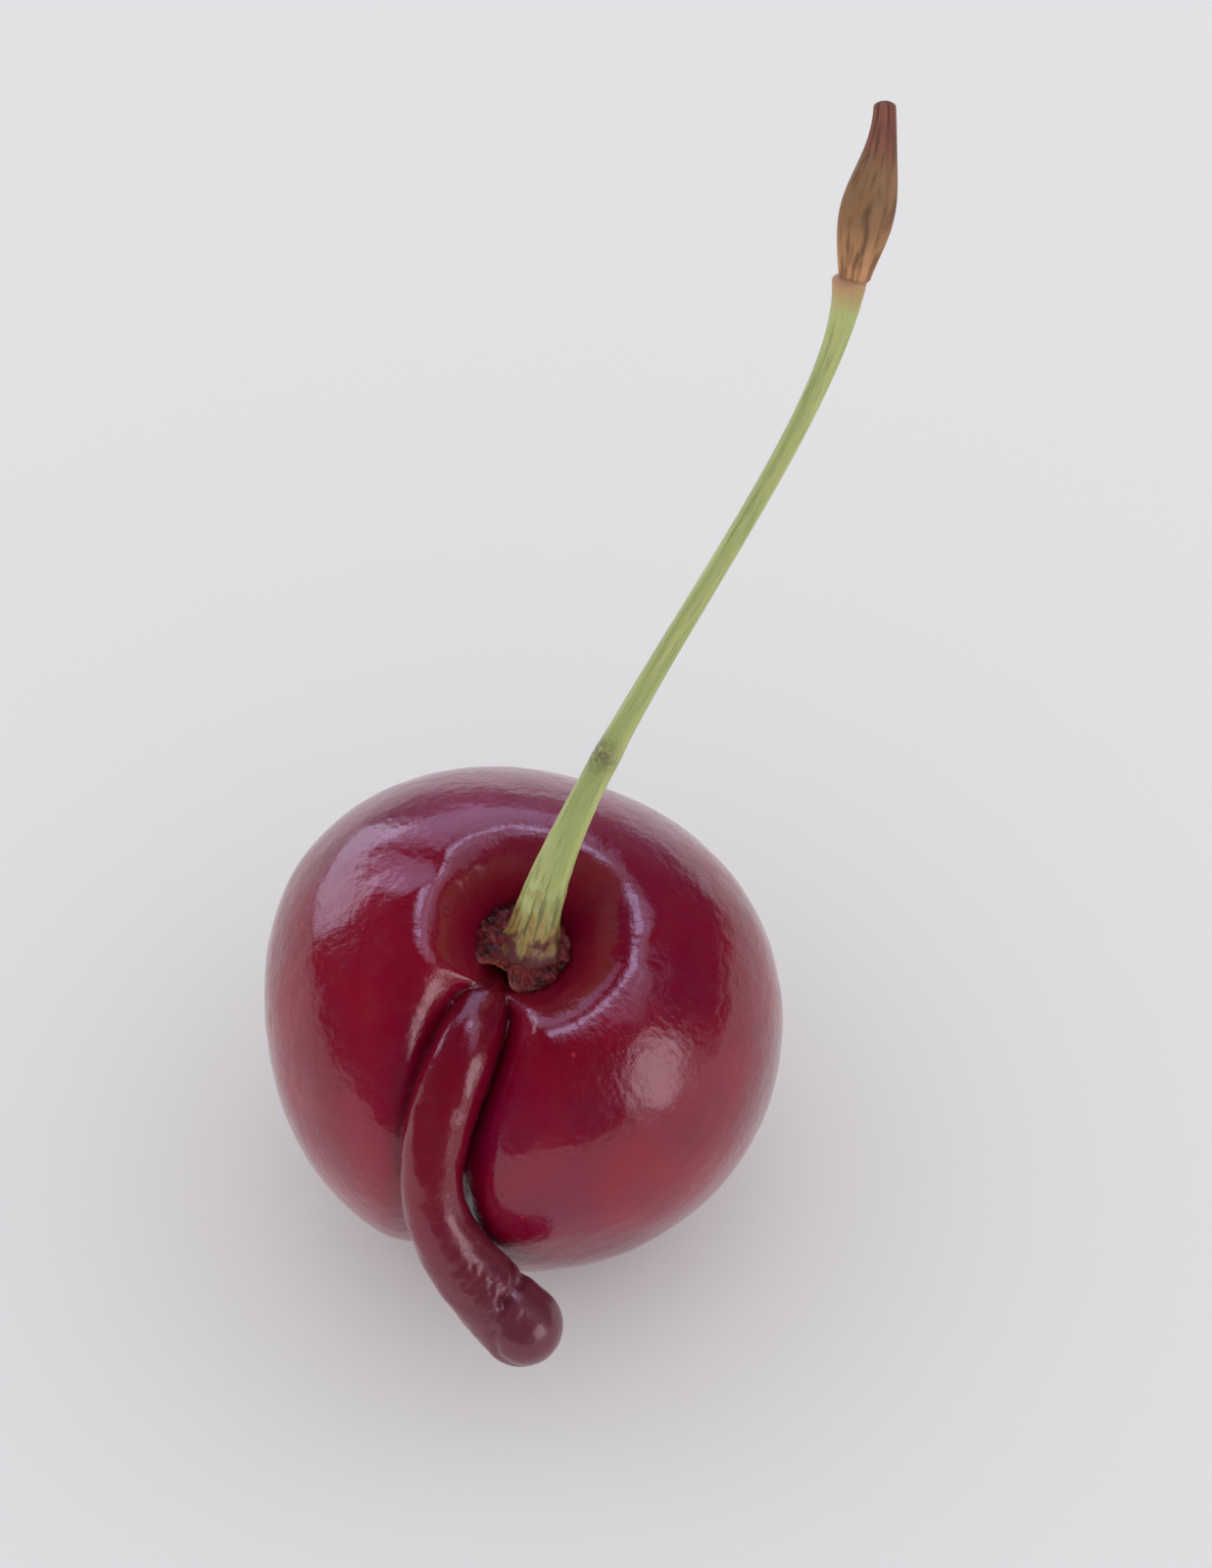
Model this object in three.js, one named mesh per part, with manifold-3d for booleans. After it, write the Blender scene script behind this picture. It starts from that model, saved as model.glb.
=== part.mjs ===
// A picked sweet cherry at rest on its underside: a malformed double fruit with a finger-shaped
// outgrowth lying in its front furrow, the dried flower cup in the stem cavity, the stem, and the
// dried bud scale at the stem's picked end.
//
// Millimetres, +Z up. The origin is the middle of the small flat spot that the fruit rests on, and
// the outgrowth hangs on the -Y side.
import * as THREE from 'three';
import { mergeVertices } from 'three/addons/utils/BufferGeometryUtils.js';
import Module from 'manifold-3d';

const wasm = await Module();
wasm.setup();

const { clamp, degToRad, lerp, smoothstep } = THREE.MathUtils;

// ---------------------------------------------------------------- driving dimensions

// Fruit body. Its own frame has Z along the fruit's axis, from blossom end to stem. A place on the
// skin is given by its polar angle from the stem end and its azimuth from the front (-Y) towards
// +X, both in degrees.
const FRUIT_RADIUS = 12.45; // across the axis
const FRUIT_HALF_HEIGHT = 11.2; // along the axis, before the cavity is sunk
const FRUIT_SQUARENESS = 2.15; // superellipse power; 2 is an ellipse, more is fuller in the shoulders
const FRUIT_TILT = 15; // the axis leans this far towards -Y
const REST_SPOT_DEPTH = 0.4; // height of the round underside that the flat resting spot takes off

// Gentle swellings and hollows of the outline: where the middle is, how far it spreads, how high.
const SWELLINGS = [
  { name: 'left shoulder', polar: 72, azimuth: -120, spread: 34, height: 0.5 },
  { name: 'flat back', polar: 62, azimuth: 156, spread: 40, height: -0.95 },
  { name: 'slack left side', polar: 95, azimuth: -86, spread: 30, height: -0.4 },
  { name: 'left lobe', polar: 80, azimuth: -48, spread: 30, height: 0.15 },
  { name: 'right lobe', polar: 75, azimuth: 40, spread: 40, height: 0.2 },
  { name: 'slack front', polar: 112, azimuth: 0, spread: 40, height: -0.2 },
];

// Stem cavity: a bowl with a nearly flat floor for the flower cup. Its left wall stands closer in.
const CAVITY_DEPTH = 3.9;
const CAVITY_RADIUS = 4.4; // where the wall is steepest
const CAVITY_LEFT_INSET = 0.9;
const CAVITY_POWER = 4;

// Furrows that run down from the cavity: the deep one between the front lobes, and two shallow
// creases of the rim. The depth, azimuth and half width of each go from the first value to the
// second while the polar angle goes through `over`. A furrow opens over the polar angles of `start`
// and closes over those of `end`.
const FURROWS = [
  {
    name: 'between the lobes',
    depth: [3.9, 1.8],
    azimuth: [-24, -19],
    halfWidth: [2.3, 1.8],
    over: [30, 72],
    start: [10, 26],
    end: [90, 130],
  },
  {
    name: 'right crease of the rim',
    depth: [0.2, 0.2],
    azimuth: [72, 96],
    halfWidth: [0.9, 1.6],
    over: [20, 50],
    start: [14, 24],
    end: [36, 62],
  },
  {
    name: 'left crease of the rim',
    depth: [0.25, 0.25],
    azimuth: [-128, -118],
    halfWidth: [1.0, 1.8],
    over: [20, 50],
    start: [14, 26],
    end: [34, 60],
  },
];
const FURROW_POWER = 2.3; // steepness of a furrow's walls

// Shallow dimple of the blossom end.
const BLOSSOM_DEPTH = 0.3;
const BLOSSOM_RADIUS = 1.4;

// Finger-shaped outgrowth: its middle line, from inside the cavity, over the rim and down the furrow
// to the middle of its round end, with its radius at each point.
const OUTGROWTH = [
  { at: [-1.5, -3.5, 17], radius: 1.3 },
  { at: [-2.3, -6.5, 17.5], radius: 1.6 },
  { at: [-3.6, -9.5, 15.5], radius: 1.65 },
  { at: [-4, -12, 12], radius: 1.5 },
  { at: [-2.5, -13.5, 9], radius: 1.75 },
  { at: [0, -15, 6.5], radius: 2 },
];

// Flower cup: a ragged dried disc on the cavity floor.
const CUP_RADIUS = 2.05;
const CUP_THICKNESS = 0.9;
const CUP_RAGGEDNESS = 0.08; // how far its edge wanders in and out, over its radius
const CUP_CLEARANCE = 0.8; // over the middle of the cavity floor

// Stem: one S-shaped sweep from the flower cup to its picked end, a Bezier curve that leaves the foot
// towards the first handle and comes in to the end from the second. Its foot is cut off parallel to
// the cup's top. It narrows quickly above the foot, and flares again only close to the end: each
// power says how quickly.
const STEM_FOOT = [0.5, -2, 19];
const STEM_HANDLES = [[2, 1, 29], [14.5, 12, 38]];
const STEM_END = [15, 15, 45.5];
const STEM_FOOT_RADIUS = 1.3;
const STEM_WAIST_RADIUS = 0.45;
const STEM_END_RADIUS = 0.8;
const STEM_FOOT_POWER = 4.5;
const STEM_END_POWER = 14;

// Bud scale: a thin dried spindle on the stem's picked end. Its belly is widest at a share of its
// length, and swells out of its blunt tip over another share.
const SCALE_FOOT = [15.5, 15.5, 46];
const SCALE_HANDLES = [[15.5, 16.5, 48], [16.5, 18, 50]];
const SCALE_TIP = [16.5, 19.5, 52];
const SCALE_TIP_RADIUS = 0.4;
const SCALE_BELLY_RADIUS = 1.25;
const SCALE_BELLY_AT = 0.35;
const SCALE_BELLY_SPREAD = 0.36;
const SCALE_FLATNESS = 0.75; // its thickness over its width

// Mesh fineness: how many steps round and along each piece.
const FRUIT_STEPS = [64, 44];
const OUTGROWTH_STEPS = [20, 44];
const CUP_STEPS = [30, 10];
const STEM_STEPS = [12, 32];
const SCALE_STEPS = [14, 16];
const CAP_SHARE = 0.16; // share of a limb's steps along it that each round end takes
const LINE_STEPS = 200; // fineness of a limb's middle line
const PIECE_GAP = 0.3; // left open between pieces that touch
const BLUNT = 0.35; // length of a blunt end over its radius
const BLOCK = 120; // side of the block that a piece is trimmed with

// ---------------------------------------------------------------- materials

const skin = new THREE.MeshStandardMaterial({ color: 0x6e0a1e, roughness: 0.22 });
const greenStem = new THREE.MeshStandardMaterial({ color: 0x8f9a5a, roughness: 0.5 });
const driedCup = new THREE.MeshStandardMaterial({ color: 0x4a2420, roughness: 0.6 });
const driedScale = new THREE.MeshStandardMaterial({ color: 0x7d5b3a, roughness: 0.75 });

// ---------------------------------------------------------------- shared geometry

// Straight share of the way that a value has gone from `low` to `high`.
const share = (value, low, high) => clamp((value - low) / (high - low), 0, 1);

// Unit vector at a polar angle from +Z and an azimuth from -Y towards +X, in radians.
const direction = (polar, azimuth) => new THREE.Vector3(
  Math.sin(polar) * Math.sin(azimuth),
  -Math.sin(polar) * Math.cos(azimuth),
  Math.cos(polar),
);

// Welds a closed geometry to positions alone and moves every vertex.
function reshape(geometry, move) {
  geometry.deleteAttribute('normal');
  geometry.deleteAttribute('uv');
  const welded = mergeVertices(geometry, 1e-5);
  const position = welded.getAttribute('position');
  const point = new THREE.Vector3();
  for (let i = 0; i < position.count; i += 1) {
    point.fromBufferAttribute(position, i);
    position.setXYZ(i, ...move(point));
  }
  return welded;
}

// A round-ended limb: a sphere whose middle rings are spread along a line, each with the radius that
// `radiusAt` gives for its share of the line's length, and whose end rings close it. An end is
// `endLength` times as long as its radius, so 1 is a half sphere.
function limb(line, radiusAt, [around, along], { endLength = 1, flatness = 1 } = {}) {
  const frames = line.computeFrenetFrames(LINE_STEPS, false);
  return reshape(new THREE.SphereGeometry(1, around, along), (point) => {
    const latitude = Math.acos(clamp(point.y, -1, 1)) / Math.PI;
    const turn = Math.atan2(point.z, point.x);
    const fraction = share(latitude, CAP_SHARE, 1 - CAP_SHARE);
    const inCap = Math.min(latitude, 1 - latitude, CAP_SHARE) / CAP_SHARE;
    const capAngle = inCap * (Math.PI / 2);
    const outward = (latitude < 0.5 ? -1 : 1) * endLength;
    const beyond = Math.cos(capAngle) * radiusAt(fraction) * outward;
    const radius = Math.sin(capAngle) * radiusAt(fraction);
    const frame = Math.round(fraction * LINE_STEPS);
    return line.getPointAt(fraction)
      .addScaledVector(frames.tangents[frame], beyond)
      .addScaledVector(frames.normals[frame], Math.cos(turn) * radius)
      .addScaledVector(frames.binormals[frame], Math.sin(turn) * radius * flatness);
  });
}

// Bezier curve from one end to the other, with its two handles between them.
const sweep = (...points) => new THREE.CubicBezierCurve3(
  ...points.map((point) => new THREE.Vector3(...point)),
);

const toSolid = (geometry) => new wasm.Manifold(new wasm.Mesh({
  numProp: 3,
  vertProperties: Float32Array.from(geometry.getAttribute('position').array),
  triVerts: Uint32Array.from(geometry.getIndex().array),
}));

// A block large enough to hold any piece, standing on the XY plane of a frame.
function spaceAbove(frame) {
  const block = new THREE.BoxGeometry(BLOCK, BLOCK, BLOCK).translate(0, 0, BLOCK / 2);
  return toSolid(reshape(block.applyMatrix4(frame), (corner) => corner));
}

function toGeometry(solid) {
  const mesh = solid.getMesh();
  const geometry = new THREE.BufferGeometry();
  geometry.setAttribute('position', new THREE.BufferAttribute(mesh.vertProperties, 3));
  geometry.setIndex(new THREE.BufferAttribute(mesh.triVerts, 1));
  geometry.computeVertexNormals();
  return geometry;
}

// ---------------------------------------------------------------- fruit

// Depth of one furrow at a place on the skin that is `lateral` away from the axis.
function furrowDepth(furrow, polar, azimuth, lateral) {
  const degrees = THREE.MathUtils.radToDeg(polar);
  const along = smoothstep(degrees, ...furrow.over);
  const course = degToRad(lerp(...furrow.azimuth, along));
  const turn = azimuth - course;
  const aside = Math.abs(Math.atan2(Math.sin(turn), Math.cos(turn))) * lateral;
  const section = Math.exp(-((aside / lerp(...furrow.halfWidth, along)) ** FURROW_POWER));
  const open = smoothstep(degrees, ...furrow.start) * (1 - smoothstep(degrees, ...furrow.end));
  return lerp(...furrow.depth, along) * section * open;
}

// Distance from the fruit's middle to its skin: a superellipse with its swellings, less the cavity
// and the furrows, which run into each other without a step.
function skinDistance(polar, azimuth) {
  const across = (Math.sin(polar) / FRUIT_RADIUS) ** FRUIT_SQUARENESS;
  const along = (Math.abs(Math.cos(polar)) / FRUIT_HALF_HEIGHT) ** FRUIT_SQUARENESS;
  const round = (across + along) ** (-1 / FRUIT_SQUARENESS);
  const lateral = round * Math.sin(polar);
  const upper = polar < Math.PI / 2;

  const here = direction(polar, azimuth);
  const swelling = SWELLINGS.reduce((sum, swell) => {
    const away = here.angleTo(direction(degToRad(swell.polar), degToRad(swell.azimuth)));
    return sum + swell.height * Math.exp(-((away / degToRad(swell.spread)) ** 2));
  }, 0);

  const cavityRadius = CAVITY_RADIUS - CAVITY_LEFT_INSET * ((1 - Math.sin(azimuth)) / 2) ** 3;
  const cavity = upper ? CAVITY_DEPTH * Math.exp(-((lateral / cavityRadius) ** CAVITY_POWER)) : 0;
  const depths = FURROWS.map((furrow) => furrowDepth(furrow, polar, azimuth, lateral));
  const sunk = [cavity, ...depths].reduce((sum, depth) => sum + depth ** 4, 0) ** 0.25;
  const blossom = upper ? 0 : BLOSSOM_DEPTH * Math.exp(-((lateral / BLOSSOM_RADIUS) ** 2));
  return round + swelling - sunk - blossom;
}

const lean = new THREE.Matrix4().makeRotationX(degToRad(FRUIT_TILT));
const skinPoint = (polar, azimuth) => direction(polar, azimuth)
  .multiplyScalar(skinDistance(polar, azimuth))
  .applyMatrix4(lean);

// The fruit's middle stands so high that the plane z = 0 takes off just the resting spot.
const lowest = skinPoint(Math.PI - degToRad(FRUIT_TILT), 0).z;
const middle = new THREE.Vector3(0, 0, -lowest - REST_SPOT_DEPTH);

// A smooth line through the stations of the outgrowth, whose radius eases from each to the next.
function makeOutgrowth() {
  const points = OUTGROWTH.map((station) => new THREE.Vector3(...station.at));
  const line = new THREE.CatmullRomCurve3(points, false, 'centripetal');
  const last = OUTGROWTH.length - 1;
  const radiusAt = (fraction) => {
    const place = line.getUtoTmapping(fraction) * last;
    const station = Math.min(Math.floor(place), last - 1);
    const eased = smoothstep(place - station, 0, 1);
    return lerp(OUTGROWTH[station].radius, OUTGROWTH[station + 1].radius, eased);
  };
  return limb(line, radiusAt, OUTGROWTH_STEPS);
}

function makeFruit() {
  const body = reshape(new THREE.SphereGeometry(1, ...FRUIT_STEPS), (point) => {
    const polar = Math.acos(clamp(point.y, -1, 1));
    return skinPoint(polar, -Math.atan2(point.z, point.x)).add(middle);
  });
  const overRest = spaceAbove(new THREE.Matrix4());
  return toGeometry(toSolid(body).add(toSolid(makeOutgrowth())).intersect(overRest));
}

// ---------------------------------------------------------------- flower cup, stem and bud scale

// The fruit's axis, from the fruit's middle towards the stem, lifted to a height along it.
const onAxis = (height) => new THREE.Matrix4()
  .makeTranslation(middle)
  .multiply(lean)
  .multiply(new THREE.Matrix4().makeTranslation(0, 0, height));

const cupMiddle = skinDistance(0, 0) + CUP_CLEARANCE + CUP_THICKNESS / 2;
const stemFoot = cupMiddle + CUP_THICKNESS / 2 + PIECE_GAP;

// A round-edged disc whose edge wanders in and out in unequal points.
function makeCup() {
  const seat = onAxis(cupMiddle);
  return reshape(new THREE.SphereGeometry(1, ...CUP_STEPS), (point) => {
    const turn = Math.atan2(point.z, point.x);
    const ragged = 1 + CUP_RAGGEDNESS * (Math.sin(5 * turn + 0.4) + Math.sin(8 * turn + 1.9)) / 2;
    const wide = Math.sqrt(Math.hypot(point.x, point.z)) * CUP_RADIUS * ragged;
    const high = (point.y * CUP_THICKNESS) / 2;
    return new THREE.Vector3(wide * Math.cos(turn), -wide * Math.sin(turn), high).applyMatrix4(seat);
  });
}

function makeStem() {
  const radiusAt = (fraction) => STEM_WAIST_RADIUS
    + (STEM_FOOT_RADIUS - STEM_WAIST_RADIUS) * (1 - fraction) ** STEM_FOOT_POWER
    + (STEM_END_RADIUS - STEM_WAIST_RADIUS) * fraction ** STEM_END_POWER;
  const line = sweep(STEM_FOOT, ...STEM_HANDLES, STEM_END);
  const whole = toSolid(limb(line, radiusAt, STEM_STEPS, { endLength: BLUNT }));
  return toGeometry(whole.intersect(spaceAbove(onAxis(stemFoot))));
}

function makeScale() {
  const radiusAt = (fraction) => SCALE_TIP_RADIUS + (SCALE_BELLY_RADIUS - SCALE_TIP_RADIUS)
    * Math.exp(-(((fraction - SCALE_BELLY_AT) / SCALE_BELLY_SPREAD) ** 2));
  const line = sweep(SCALE_FOOT, ...SCALE_HANDLES, SCALE_TIP);
  return limb(line, radiusAt, SCALE_STEPS, { endLength: BLUNT, flatness: SCALE_FLATNESS });
}

// ---------------------------------------------------------------- assembly

const cherry = new THREE.Group();

function addPiece(name, geometry, material) {
  const mesh = new THREE.Mesh(geometry, material);
  mesh.name = name;
  cherry.add(mesh);
}

addPiece('fruit', makeFruit(), skin);
addPiece('flower_cup', makeCup(), driedCup);
addPiece('stem', makeStem(), greenStem);
addPiece('bud_scale', makeScale(), driedScale);

export default cherry;
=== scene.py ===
"""A picked sweet cherry on a pale table: double-lobed fruit with a finger-shaped outgrowth, dried
flower cup, stem and dried bud scale.

Lengths are written in millimetres and turned into metres where a mesh or a shader is made.
"""

from __future__ import annotations

import logging
import math
from dataclasses import dataclass
from enum import Enum
from functools import partial
from typing import Sequence

import bpy
import numpy as np
from mathutils import Matrix, Vector


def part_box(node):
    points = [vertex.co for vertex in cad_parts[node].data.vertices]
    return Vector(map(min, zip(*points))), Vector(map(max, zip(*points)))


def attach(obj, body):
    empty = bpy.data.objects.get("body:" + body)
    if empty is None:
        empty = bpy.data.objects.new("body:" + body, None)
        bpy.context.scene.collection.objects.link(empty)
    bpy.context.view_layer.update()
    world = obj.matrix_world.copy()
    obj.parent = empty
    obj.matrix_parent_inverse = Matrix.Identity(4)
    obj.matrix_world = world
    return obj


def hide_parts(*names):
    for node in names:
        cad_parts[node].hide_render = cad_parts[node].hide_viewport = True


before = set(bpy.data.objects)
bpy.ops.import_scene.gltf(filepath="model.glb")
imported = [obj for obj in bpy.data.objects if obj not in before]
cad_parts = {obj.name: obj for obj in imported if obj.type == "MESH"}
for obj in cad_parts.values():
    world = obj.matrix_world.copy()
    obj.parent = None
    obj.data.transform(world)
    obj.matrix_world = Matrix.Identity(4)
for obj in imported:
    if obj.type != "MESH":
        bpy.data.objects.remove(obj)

LOG = logging.getLogger("cherry")
MM = 0.001
PYRAMIDS_PER_BOX = 6.0  # a box on three edges holds six pyramids on the same edges
TURN = 2.0 * math.pi
NO_LENGTH = 1e-12  # stands in for the squared length of a stroke that is only a pit
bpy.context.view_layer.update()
Array = np.ndarray


class Piece(str, Enum):
    """Names of the finished pieces: cherry_ and the CAD node that each stands for."""

    FRUIT = "cherry_fruit"
    CUP = "cherry_flower_cup"
    STEM = "cherry_stem"
    SCALE = "cherry_bud_scale"


# ------------------------------------------------------------------------------------ arithmetic


def smoothstep(value: Array | float, low: float, high: float) -> Array:
    """Rises from 0 at low to 1 at high as 3t^2 - 2t^3.

    Args:
        value: Where to evaluate.
        low: Last value that gives 0.
        high: First value that gives 1.

    Returns:
        The eased share, same shape as value.
    """
    t = np.clip((np.asarray(value, float) - low) / (high - low), 0.0, 1.0)
    return t * t * (3.0 - 2.0 * t)


def bell(distance: Array, width: float) -> Array:
    """Gaussian bell, 1 at distance 0 and 1/e at distance = width."""
    return np.exp(-((distance / width) ** 2))


def lerp(ends: tuple[float, float], share: Array) -> Array:
    """Straight mix of two end values."""
    return ends[0] + (ends[1] - ends[0]) * share


def unit(vectors: Array) -> Array:
    """Vectors scaled to length 1 along the last axis."""
    return vectors / np.linalg.norm(vectors, axis=-1, keepdims=True)


def direction(polar: Array, azimuth: Array) -> Array:
    """Unit vectors that point at a polar angle and an azimuth.

    Args:
        polar: Angle from +Z, radians.
        azimuth: Angle from -Y towards +X, radians.

    Returns:
        The vectors, with x, y and z along a last axis.
    """
    polar, azimuth = np.broadcast_arrays(polar, azimuth)
    return np.stack(
        [
            np.sin(polar) * np.sin(azimuth),
            -np.sin(polar) * np.cos(azimuth),
            np.cos(polar),
        ],
        axis=-1,
    )


def spline(knots: Array, values: Array, at: Array) -> Array:
    """Natural cubic spline: between knots a cubic, whose slope and bend run on across each knot.

    Args:
        knots: Rising parameters of the points, shape (n,).
        values: The points, shape (n, k).
        at: Parameters to evaluate, shape (m,).

    Returns:
        Points on the spline, shape (m, k).
    """
    step = np.diff(knots)
    count = len(knots)
    inner = np.arange(1, count - 1)
    system = np.eye(count)
    system[inner, inner - 1] = step[:-1]
    system[inner, inner] = 2.0 * (step[:-1] + step[1:])
    system[inner, inner + 1] = step[1:]
    slope = np.diff(values, axis=0) / step[:, None]
    right = np.zeros_like(values)
    right[1:-1] = 6.0 * np.diff(slope, axis=0)
    bend = np.linalg.solve(system, right)
    k = np.clip(np.searchsorted(knots, at, side="right") - 1, 0, count - 2)
    h = step[k][:, None]
    a = (knots[k + 1] - at)[:, None] / h
    b = (at - knots[k])[:, None] / h
    return (
        a * values[k] + b * values[k + 1]
        + ((a**3 - a) * bend[k] + (b**3 - b) * bend[k + 1]) * h * h / 6.0
    )


def ripple(points: Array, wavelength: float, seed: int, waves: int = 9) -> Array:
    """Smooth waviness of about unit height: a sum of plane sine waves in scattered directions.

    Args:
        points: Places in mm, shape (..., 3).
        wavelength: Middle wavelength in mm; the waves lie within a third of it either way.
        seed: Fixes the directions and phases.
        waves: How many waves are summed.

    Returns:
        Heights, shape (...).
    """
    draw = np.random.default_rng(seed)
    heading = unit(draw.normal(size=(waves, 3)))
    number = TURN / (wavelength * draw.uniform(0.67, 1.33, size=(waves, 1)))
    phase = draw.uniform(0.0, TURN, size=waves)
    return np.sin(points @ (heading * number).T + phase).sum(axis=-1) / math.sqrt(waves)


# ------------------------------------------------------------------------------------ mesh making


def mesh_object(name: str, points: Array, faces: Sequence[Array]) -> bpy.types.Object:
    """Puts whole arrays of vertices and faces into a mesh, smooth-shaded, faces outwards.

    Args:
        name: Name of the object and mesh.
        points: Vertices in mm, shape (n, 3).
        faces: Arrays of vertex indices, one for each face size.

    Returns:
        The object, linked to the scene.
    """
    points = np.asarray(points, np.float64).reshape(-1, 3)
    if enclosed_volume(points, faces) < 0.0:
        faces = [face[:, ::-1] for face in faces]
    sizes = np.concatenate([np.full(len(face), face.shape[1], np.int32) for face in faces])
    corners = np.concatenate([face.ravel() for face in faces]).astype(np.int32)
    mesh = bpy.data.meshes.new(name)
    mesh.vertices.add(len(points))
    mesh.vertices.foreach_set("co", (points * MM).astype(np.float32).ravel())
    mesh.loops.add(len(corners))
    mesh.loops.foreach_set("vertex_index", corners)
    mesh.polygons.add(len(sizes))
    mesh.polygons.foreach_set("loop_start", (np.cumsum(sizes) - sizes).astype(np.int32))
    mesh.update(calc_edges=True)
    mesh.validate()
    mesh.polygons.foreach_set("use_smooth", np.ones(len(mesh.polygons), bool))
    piece = bpy.data.objects.new(name, mesh)
    bpy.context.scene.collection.objects.link(piece)
    return piece


def enclosed_volume(points: Array, faces: Sequence[Array]) -> float:
    """Volume inside a closed mesh: the sum of the pyramids from the origin to its triangles.

    Args:
        points: Vertices, shape (n, 3).
        faces: Arrays of vertex indices, one for each face size.

    Returns:
        The volume, negative where the faces point inwards.
    """
    total = 0.0
    for face in faces:
        for last in range(2, face.shape[1]):
            a, b, c = points[face[:, 0]], points[face[:, last - 1]], points[face[:, last]]
            total += float(np.einsum("ij,ij->", a, np.cross(b, c))) / PYRAMIDS_PER_BOX
    return total


def ring_faces(rings: int, around: int) -> list[Array]:
    """Faces of a closed surface laid out as rings between two poles.

    Vertices run ring by ring; the first pole comes after them and the second pole last.

    Args:
        rings: How many rings.
        around: Vertices in each ring.

    Returns:
        The quads between rings and the triangles round the poles.
    """
    column = np.arange(around)
    following = (column + 1) % around
    start = np.arange(rings - 1)[:, None] * around
    quads = np.stack(
        [start + column, start + following, start + around + following, start + around + column],
        axis=-1,
    ).reshape(-1, 4)
    first, second = rings * around, rings * around + 1
    last = (rings - 1) * around
    head = np.stack([np.full(around, first), following, column], axis=-1)
    tail = np.stack([np.full(around, second), last + column, last + following], axis=-1)
    return [quads, np.concatenate([head, tail])]


def set_attribute(piece: bpy.types.Object, name: str, values: Array) -> None:
    """Stores one float, or one vector of three, for each vertex.

    Args:
        piece: The piece whose mesh takes it.
        name: The name that the finish reads.
        values: Shape (n,) or (n, 3).
    """
    kind, key = ("FLOAT", "value") if values.ndim == 1 else ("FLOAT_VECTOR", "vector")
    layer = piece.data.attributes.new(name, kind, "POINT")
    layer.data.foreach_set(key, values.astype(np.float32).ravel())


def vertices(piece: bpy.types.Object) -> Array:
    """Reads the vertex places of a piece.

    Args:
        piece: The piece to read.

    Returns:
        The places in mm, shape (n, 3).
    """
    flat = np.empty(len(piece.data.vertices) * 3, np.float32)
    piece.data.vertices.foreach_get("co", flat)
    return flat.reshape(-1, 3).astype(np.float64) / MM


def finish_piece(piece: bpy.types.Object, node: str, finish: Finish) -> None:
    """Dresses a piece, and says what it rides on, stands for and takes its finish from.

    Args:
        piece: The finished shape.
        node: The CAD node that it stands for.
        finish: What its surface is.
    """
    piece.data.materials.clear()
    piece.data.materials.append(finish.material())
    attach(piece, "root")
    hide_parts(node)
    piece.data.calc_loop_triangles()
    LOG.info("%s: %d triangles", piece.name, len(piece.data.loop_triangles))


# ------------------------------------------------------------------------------------ shader nodes


def colour(code: str) -> tuple[float, float, float, float]:
    """Turns an sRGB hex code to linear by the sRGB curve: straight near black, then a power.

    Args:
        code: The colour as #RRGGBB.

    Returns:
        Linear red, green, blue and full alpha.
    """
    parts = [int(code[i : i + 2], 16) / 255.0 for i in (1, 3, 5)]
    linear = [p / 12.92 if p <= 0.04045 else ((p + 0.055) / 1.055) ** 2.4 for p in parts]
    return (*linear, 1.0)


def add_node(
    tree: bpy.types.NodeTree, kind: str, inputs: dict | tuple = (), **settings: object
) -> bpy.types.Node:
    """Adds a node, sets its properties, and fills or links its inputs.

    An input takes a value, an output socket, or a node, which stands for its first output. A
    MapRange given as a tuple reads: value, from low, from high, to low, to high.

    Args:
        tree: The node tree of a material or a world.
        kind: Node type without its ShaderNode prefix.
        inputs: Inputs by their names, or a tuple of them in the node's own order.
        **settings: Properties of the node itself.

    Returns:
        The new node.
    """
    made = tree.nodes.new("ShaderNode" + kind)
    for key, value in settings.items():
        setattr(made, key, value)
    for key, value in inputs.items() if isinstance(inputs, dict) else enumerate(inputs):
        if isinstance(value, bpy.types.Node):
            value = value.outputs[0]
        if isinstance(value, bpy.types.NodeSocket):
            tree.links.new(value, made.inputs[key])
        else:
            made.inputs[key].default_value = value
    return made


@dataclass(frozen=True)
class Finish:
    """Common ground of the finishes: a name and a material made from it."""

    name: str

    def material(self) -> bpy.types.Material:
        """Makes a new material with this finish's nodes.

        Returns:
            The material.
        """
        made = bpy.data.materials.new(self.name)
        made.use_nodes = True
        made.node_tree.nodes.clear()
        self.nodes(made.node_tree)
        return made

    def nodes(self, tree: bpy.types.NodeTree) -> None:
        """Builds the finish's nodes."""
        raise NotImplementedError


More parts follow.
